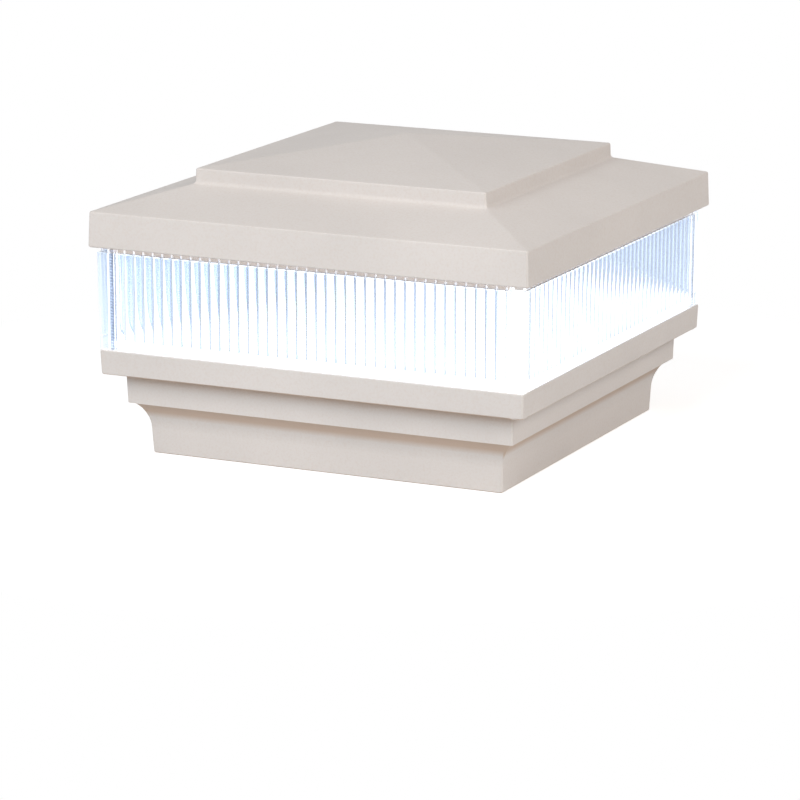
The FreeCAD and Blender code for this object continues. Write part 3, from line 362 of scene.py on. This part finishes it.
def plain_plastic(name, colour, roughness, grain_size, grain_depth):
    """Small moulded part: two close tones and a grain."""
    material, tree, output, place = new_material(name)
    patch = noise(tree, place, 2.5 * MM, detail=4.0)
    surface(tree, output, {
        "Base Color": mix(tree, ramp(tree, patch, 0.3, 0.7), colour, shade(colour, 0.8)),
        "Roughness": ramp(tree, patch, 0.2, 0.8, roughness - 0.05, roughness + 0.08),
        "Normal": bump(tree, noise(tree, place, grain_size), grain_depth, 0.8),
    })
    return material


def black_rubber():
    """Dull rubber with fine pores and a dusting of grey."""
    material, tree, output, place = new_material("black_rubber")
    dust = noise(tree, place, 3 * MM, detail=6.0, roughness=0.7)
    dusted = ramp(tree, dust, 0.5, 0.8)
    surface(tree, output, {
        "Base Color": mix(tree, dusted, (0.018, 0.018, 0.018), (0.06, 0.058, 0.055)),
        "Roughness": ramp(tree, dust, 0.3, 0.8, 0.62, 0.82),
        "Specular IOR Level": 0.35,
        "Normal": bump(tree, noise(tree, place, 0.3 * MM), 0.02 * MM, 0.8),
    })
    return material


def white_silicone():
    """Soft milky silicone with a faint surface skin."""
    material, tree, output, place = new_material("white_silicone")
    patch = noise(tree, place, 6 * MM, detail=3.0)
    surface(tree, output, {
        "Base Color": mix(tree, ramp(tree, patch, 0.3, 0.7), (0.86, 0.87, 0.88), (0.80, 0.81, 0.82)),
        "Roughness": ramp(tree, patch, 0.2, 0.8, 0.45, 0.60),
        "Normal": bump(tree, noise(tree, place, 0.5 * MM), 0.01 * MM, 0.6),
    })
    return material


def grey_foam():
    """Closed-cell foam: small round cells."""
    material, tree, output, place = new_material("grey_foam")
    cell = 0.5 * MM
    cells = node(tree, "ShaderNodeTexVoronoi", {"Vector": place, "Scale": 1 / cell}).outputs["Distance"]
    surface(tree, output, {
        "Base Color": mix(tree, cells, (0.10, 0.10, 0.105), (0.22, 0.22, 0.225)),
        "Roughness": 0.9,
        "Normal": bump(tree, cells, 0.08 * MM, 0.7),
    })
    return material


# ---------------------------------------------------------------- metals
def threaded_steel(name, thread_low, thread_high, pitch, crest=STEEL, root_shade=STEEL_ROOT_SHADE):
    """Steel screw, threaded between two heights, with painted shade in the thread roots."""
    material, tree, output, place = new_material(name)
    z = axes(tree, place)["Z"]
    ridge = ramp(tree, maths(tree, "PINGPONG", z, pitch / 2), 0.0, pitch / 2)
    above = maths(tree, "GREATER_THAN", z, thread_low)
    below = maths(tree, "LESS_THAN", z, thread_high)
    thread = maths(tree, "MULTIPLY", ridge, maths(tree, "MULTIPLY", above, below))
    smudge = noise(tree, place, 1.2 * MM, detail=4.0)
    surface(tree, output, {
        "Base Color": mix(tree, ramp(tree, thread, 0.0, 1.0, 1.0, 0.0), crest, root_shade),
        "Metallic": 1.0,
        "Roughness": ramp(tree, smudge, 0.3, 0.7, 0.30, 0.44),
        "Normal": bump(tree, thread, 0.3 * pitch, 0.6),
    })
    return material


def plain_metal(name, colour, roughness, streak):
    """Metal with fine streaks along X."""
    material, tree, output, place = new_material(name)
    stretched = node(tree, "ShaderNodeMapping", {
        "Vector": place, "Scale": (streak, 1.0, 1.0),
    }).outputs["Vector"]
    brushed = noise(tree, stretched, 0.4 * MM, detail=4.0)
    patch = noise(tree, place, 8 * MM, detail=3.0)
    surface(tree, output, {
        "Base Color": mix(tree, ramp(tree, patch, 0.35, 0.65), colour, shade(colour, 0.82)),
        "Metallic": 1.0,
        "Roughness": ramp(tree, brushed, 0.2, 0.8, roughness - 0.06, roughness + 0.10),
        "Normal": bump(tree, brushed, 0.01 * MM, 0.6),
    })
    return material


def copper_wire():
    """Close turns of enamelled wire round an upright core."""
    material, tree, output, place = new_material("copper_wire")
    turn = 0.4 * MM
    strand = ramp(tree, maths(tree, "PINGPONG", axes(tree, place)["Z"], turn / 2), 0.0, turn / 2)
    patch = noise(tree, place, 1.5 * MM)
    surface(tree, output, {
        "Base Color": mix(tree, patch, (0.55, 0.20, 0.07), (0.72, 0.30, 0.12)),
        "Metallic": 1.0,
        "Roughness": ramp(tree, strand, 0.0, 1.0, 0.42, 0.25),
        "Coat Weight": 0.5,
        "Normal": bump(tree, strand, 0.15 * MM, 0.9),
    })
    return material


# ---------------------------------------------------------------- boards and what is on them
def circuit_board(name, mask, track, cell):
    """Solder mask over a pattern of tracks that stand a little proud."""
    material, tree, output, place = new_material(name)
    tracks = node(tree, "ShaderNodeTexBrick", {
        "Vector": place, "Scale": 1.0, "Mortar Size": cell * 0.12, "Mortar Smooth": 0.1,
        "Brick Width": cell * 2.6, "Row Height": cell,
    }).outputs["Fac"]
    patch = noise(tree, place, 12 * MM, detail=4.0)
    colour = mix(tree, ramp(tree, patch, 0.3, 0.7, 0.0, 0.3), mask, track)
    surface(tree, output, {
        "Base Color": mix(tree, ramp(tree, tracks, 0.0, 1.0, 0.0, 0.7), colour, track),
        "Roughness": ramp(tree, patch, 0.2, 0.8, 0.28, 0.40),
        "Coat Weight": 0.3,
        "Normal": bump(tree, tracks, 0.035 * MM, 0.8),
    })
    return material


def led_phosphor():
    """Chip faces: yellow phosphor, lit, with grain."""
    material, tree, output, place = new_material("led_phosphor")
    grain = noise(tree, place, 0.3 * MM, detail=3.0)
    surface(tree, output, {
        "Base Color": mix(tree, grain, (0.90, 0.72, 0.20), (0.95, 0.85, 0.45)),
        "Roughness": 0.55,
        "Emission Color": mix(tree, grain, LAMP_WHITE, (1.0, 0.97, 0.80)),
        "Emission Strength": CHIP_GLOW,
        "Normal": bump(tree, grain, 0.02 * MM, 0.6),
    })
    return material


def capacitor_sleeve():
    """Dark sleeve with a pale stripe down one side, and a bare metal top."""
    material, tree, output, place = new_material("capacitor_sleeve")
    low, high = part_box("smoothing_capacitor")
    _, y, z = axes(tree, place)
    stripe = maths(tree, "LESS_THAN", y, low.y + 0.6 * MM)
    top = maths(tree, "GREATER_THAN", z, high.z - 0.3 * MM)
    patch = noise(tree, place, 2 * MM, detail=3.0)
    patched = ramp(tree, patch, 0.3, 0.7)
    sleeve = mix(tree, patched, (0.015, 0.018, 0.030), (0.025, 0.028, 0.042))
    colour = mix(tree, stripe, sleeve, (0.55, 0.57, 0.60))
    surface(tree, output, {
        "Base Color": mix(tree, top, colour, (0.70, 0.71, 0.73)),
        "Metallic": top,
        "Roughness": ramp(tree, patch, 0.2, 0.8, 0.25, 0.38),
        "Normal": bump(tree, patch, 0.02 * MM, 0.5),
    })
    return material


# ---------------------------------------------------------------- which piece gets which finish
def screw_steel(name, box, head, pitch):
    """Finish for the upright screws in a box; their heads are on top and aren't threaded."""
    low, high = box
    return threaded_steel(name, low.z, high.z - head, pitch)


def tie_screw_steel():
    """Darker finish of the long screws, whose heads are at the foot."""
    low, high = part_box("tie_screws")
    return threaded_steel("tie_steel", low.z + TIE_HEAD, high.z, TIE_PITCH, DARK_ZINC, ZINC_ROOT_SHADE)


def small_plastics():
    """Finishes of the small moulded pieces: colour, roughness, and the grain's size and depth in mm."""
    looks = {
        "bridge_rectifier": ("rectifier_epoxy", (0.030, 0.030, 0.032), 0.45, 0.3, 0.02),
        "driver_chip": ("chip_epoxy", (0.020, 0.020, 0.022), 0.40, 0.2, 0.015),
        "choke_core": ("dark_ferrite", (0.045, 0.043, 0.042), 0.55, 0.25, 0.03),
        "terminal_block": ("terminal_green", (0.03, 0.25, 0.12), 0.40, 0.4, 0.015),
        "lead_red": ("red_insulation", (0.50, 0.02, 0.015), 0.38, 0.5, 0.01),
        "lead_black": ("black_insulation", (0.02, 0.02, 0.02), 0.38, 0.5, 0.01),
    }
    return {
        piece: plain_plastic(name, colour, roughness, size * MM, depth * MM)
        for piece, (name, colour, roughness, size, depth) in looks.items()
    }


def dress():
    """Give every piece its finish."""
    greige_base = greige_plastic("greige_base", painted_shade_reach=9 * MM, painted_shade_strength=1.0)
    greige_roof = greige_plastic("greige_roof", painted_shade_reach=3 * MM, painted_shade_strength=0.15)
    finishes = {
        "base_housing": greige_base,
        "mounting_plate": greige_base,
        "roof_cap": greige_roof,
        "fluted_lens": clear_acrylic(),
        "diffuser_plate": opal_acrylic(),
        "light_tray": white_plastic(),
        "heat_spreader": plain_metal("aluminium", ALUMINIUM, 0.35, 0.04),
        "brass_inserts": plain_metal("brass", BRASS, 0.30, 1.0),
        "tie_screws": tie_screw_steel(),
        "tray_screws": screw_steel("tray_steel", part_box("tray_screws"), TRAY_HEAD, TRAY_PITCH),
        "board_screws": screw_steel("board_steel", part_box("board_screws"), SMALL_HEAD, SMALL_PITCH),
        "plate_screws": screw_steel("plate_steel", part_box("plate_screws"), SMALL_HEAD, SMALL_PITCH),
        "driver_screws": screw_steel("driver_steel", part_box("driver_screws"), SMALL_HEAD, SMALL_PITCH),
        "terminal_screws": plain_metal("terminal_steel", STEEL, 0.30, 1.0),
        "led_board": circuit_board("white_board", (0.80, 0.81, 0.80), (0.68, 0.69, 0.66), 10 * MM),
        "driver_board": circuit_board("green_board", (0.015, 0.13, 0.045), (0.04, 0.24, 0.08), 4 * MM),
        "led_chips": led_phosphor(),
        "smoothing_capacitor": capacitor_sleeve(),
        "choke_winding": copper_wire(),
        "cable_grommet": black_rubber(),
        "lens_seal": white_silicone(),
        "roof_seal": grey_foam(),
        **small_plastics(),
    }
    for name, material in finishes.items():
        for slot in frame["nodes"][name].material_slots:
            slot.material = material


# ---------------------------------------------------------------- studio
def direction(azimuth, elevation):
    """Unit vector from the object towards an azimuth and elevation in degrees."""
    turn = math.radians(azimuth)
    rise = math.radians(elevation)
    return Vector((math.sin(turn) * math.cos(rise), -math.cos(turn) * math.cos(rise), math.sin(rise)))


def hold(name, data):
    """Put a lamp or a camera into the scene."""
    holder = bpy.data.objects.new(name, data)
    bpy.context.scene.collection.objects.link(holder)
    return holder


def floor():
    """Plain pale floor that shows as white, and keeps the object's shadow."""
    material, tree, output, place = new_material("studio_floor")
    patch = noise(tree, place, 300 * MM, detail=2.0)
    paper = node(tree, "ShaderNodeBsdfDiffuse", {
        "Color": mix(tree, patch, (0.80, 0.80, 0.80), (0.82, 0.82, 0.82)),
    }).outputs["BSDF"]
    seen = backdrop_ray(tree)
    lift = emission(tree, WHITE, maths(tree, "MULTIPLY", seen, FLOOR_LIFT))
    lifted = node(tree, "ShaderNodeAddShader", {0: paper, 1: lift}).outputs["Shader"]
    backdrop = emission(tree, WHITE, 1.0)
    reach = node(tree, "ShaderNodeVectorMath", {0: place}, operation="LENGTH").outputs["Value"]
    far = maths(tree, "MULTIPLY", ramp(tree, reach, FLOOR_NEAR, FLOOR_FAR), seen)
    both = node(tree, "ShaderNodeMixShader", {0: far, 1: lifted, 2: backdrop}).outputs["Shader"]
    tree.links.new(both, output.inputs["Surface"])
    bpy.ops.mesh.primitive_plane_add(size=FLOOR_SIZE, location=(0, 0, cad_bounds[0][2] - FLOOR_GAP))
    plane = bpy.context.object
    plane.name = "studio_floor"
    plane.data.materials.append(material)


def world():
    """Even dim surroundings; the camera, gloss and glass see them white."""
    made = bpy.data.worlds.new("studio")
    bpy.context.scene.world = made
    made.use_nodes = True
    tree = made.node_tree
    tree.nodes.clear()
    strength = ramp(tree, backdrop_ray(tree), 0.0, 1.0, WORLD_STRENGTH, 1.0)
    background = node(tree, "ShaderNodeBackground", {"Color": rgba(WHITE), "Strength": strength})
    output = node(tree, "ShaderNodeOutputWorld")
    tree.links.new(background.outputs["Background"], output.inputs["Surface"])


def softbox(name, azimuth, elevation, distance, power, colour):
    """Square area lamp, aimed at the middle of the object."""
    away = direction(azimuth, elevation)
    lamp = bpy.data.lights.new(name, "AREA")
    lamp.size = LAMP_SIZE
    lamp.energy = power
    lamp.color = colour
    holder = hold(name, lamp)
    holder.location = Vector((0, 0, LAMP_TARGET_Z)) + away * distance
    holder.rotation_euler = away.to_track_quat("Z", "Y").to_euler()


def camera():
    """Long lens at the photograph's angle."""
    away = direction(VIEW_AZIMUTH, VIEW_ELEVATION)
    turn = math.radians(VIEW_AZIMUTH)
    right = Vector((math.cos(turn), math.sin(turn), 0.0))
    lens = bpy.data.cameras.new("camera")
    lens.sensor_width = SENSOR_WIDTH
    lens.lens = FOCAL_LENGTH
    holder = hold("camera", lens)
    holder.location = Vector((0, 0, VIEW_TARGET_Z)) + right * VIEW_RIGHT_SHIFT + away * VIEW_DISTANCE
    holder.rotation_euler = Euler((math.pi / 2 - math.radians(VIEW_ELEVATION), 0, turn))
    bpy.context.scene.camera = holder


camera()
dress()
floor()
world()
for lamp_settings in LAMPS:
    softbox(*lamp_settings)
bpy.context.scene.view_settings.view_transform = "Standard"
